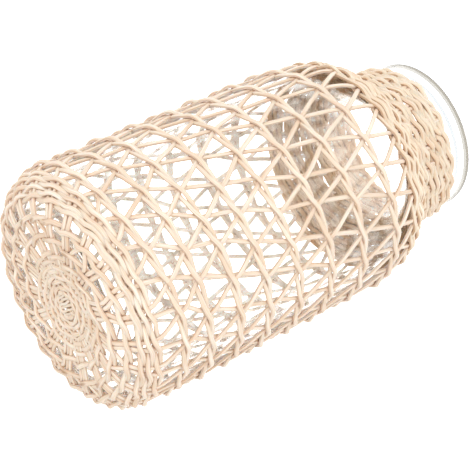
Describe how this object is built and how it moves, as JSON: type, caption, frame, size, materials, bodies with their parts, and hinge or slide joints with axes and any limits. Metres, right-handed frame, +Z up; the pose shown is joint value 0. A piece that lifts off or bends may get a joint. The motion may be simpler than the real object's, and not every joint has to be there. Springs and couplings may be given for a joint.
{
  "type": "glass vase with woven rattan jacket",
  "caption": "Cylindrical glass vase with a rounded shoulder, short neck and flared lip, inside a hand-woven open lattice jacket of round rattan cane.",
  "frame": {"origin": "on the vase's axis, at the level of the surface that it stands on", "axes": "+Z up along the vase's axis, towards its mouth; -Y towards the side that the picture shows"},
  "size_m": [0.1619, 0.1621, 0.3],
  "materials": {
    "clear_glass": "clear blown glass, smooth",
    "rattan_stakes": "natural peeled round cane, satin",
    "rattan_weavers": "natural peeled round cane, satin"
  },
  "bodies": {
    "root": {"glass_vessel": "clear_glass", "base_mat": "rattan_weavers", "corner_band": "rattan_weavers", "neck_band": "rattan_weavers", "twined_row_1": "rattan_weavers", "twined_row_2": "rattan_weavers", "twined_row_3": "rattan_weavers", "twined_row_4": "rattan_weavers", "twined_row_5": "rattan_weavers", "twined_row_6": "rattan_weavers", "twined_row_7": "rattan_weavers", "twined_row_8": "rattan_weavers", "right_stake_01": "rattan_stakes", "right_stake_02": "rattan_stakes", "right_stake_03": "rattan_stakes", "right_stake_04": "rattan_stakes", "right_stake_05": "rattan_stakes", "right_stake_06": "rattan_stakes", "right_stake_07": "rattan_stakes", "right_stake_08": "rattan_stakes", "right_stake_09": "rattan_stakes", "right_stake_10": "rattan_stakes", "right_stake_11": "rattan_stakes", "right_stake_12": "rattan_stakes", "right_stake_13": "rattan_stakes", "right_stake_14": "rattan_stakes", "right_stake_15": "rattan_stakes", "right_stake_16": "rattan_stakes", "right_stake_17": "rattan_stakes", "right_stake_18": "rattan_stakes", "right_stake_19": "rattan_stakes", "right_stake_20": "rattan_stakes", "right_stake_21": "rattan_stakes", "right_stake_22": "rattan_stakes", "right_stake_23": "rattan_stakes", "left_stake_01": "rattan_stakes", "left_stake_02": "rattan_stakes", "left_stake_03": "rattan_stakes", "left_stake_04": "rattan_stakes", "left_stake_05": "rattan_stakes", "left_stake_06": "rattan_stakes", "left_stake_07": "rattan_stakes", "left_stake_08": "rattan_stakes", "left_stake_09": "rattan_stakes", "left_stake_10": "rattan_stakes", "left_stake_11": "rattan_stakes", "left_stake_12": "rattan_stakes", "left_stake_13": "rattan_stakes", "left_stake_14": "rattan_stakes", "left_stake_15": "rattan_stakes", "left_stake_16": "rattan_stakes", "left_stake_17": "rattan_stakes", "left_stake_18": "rattan_stakes", "left_stake_19": "rattan_stakes", "left_stake_20": "rattan_stakes", "left_stake_21": "rattan_stakes", "left_stake_22": "rattan_stakes", "left_stake_23": "rattan_stakes"}
  },
  "joints": []
}
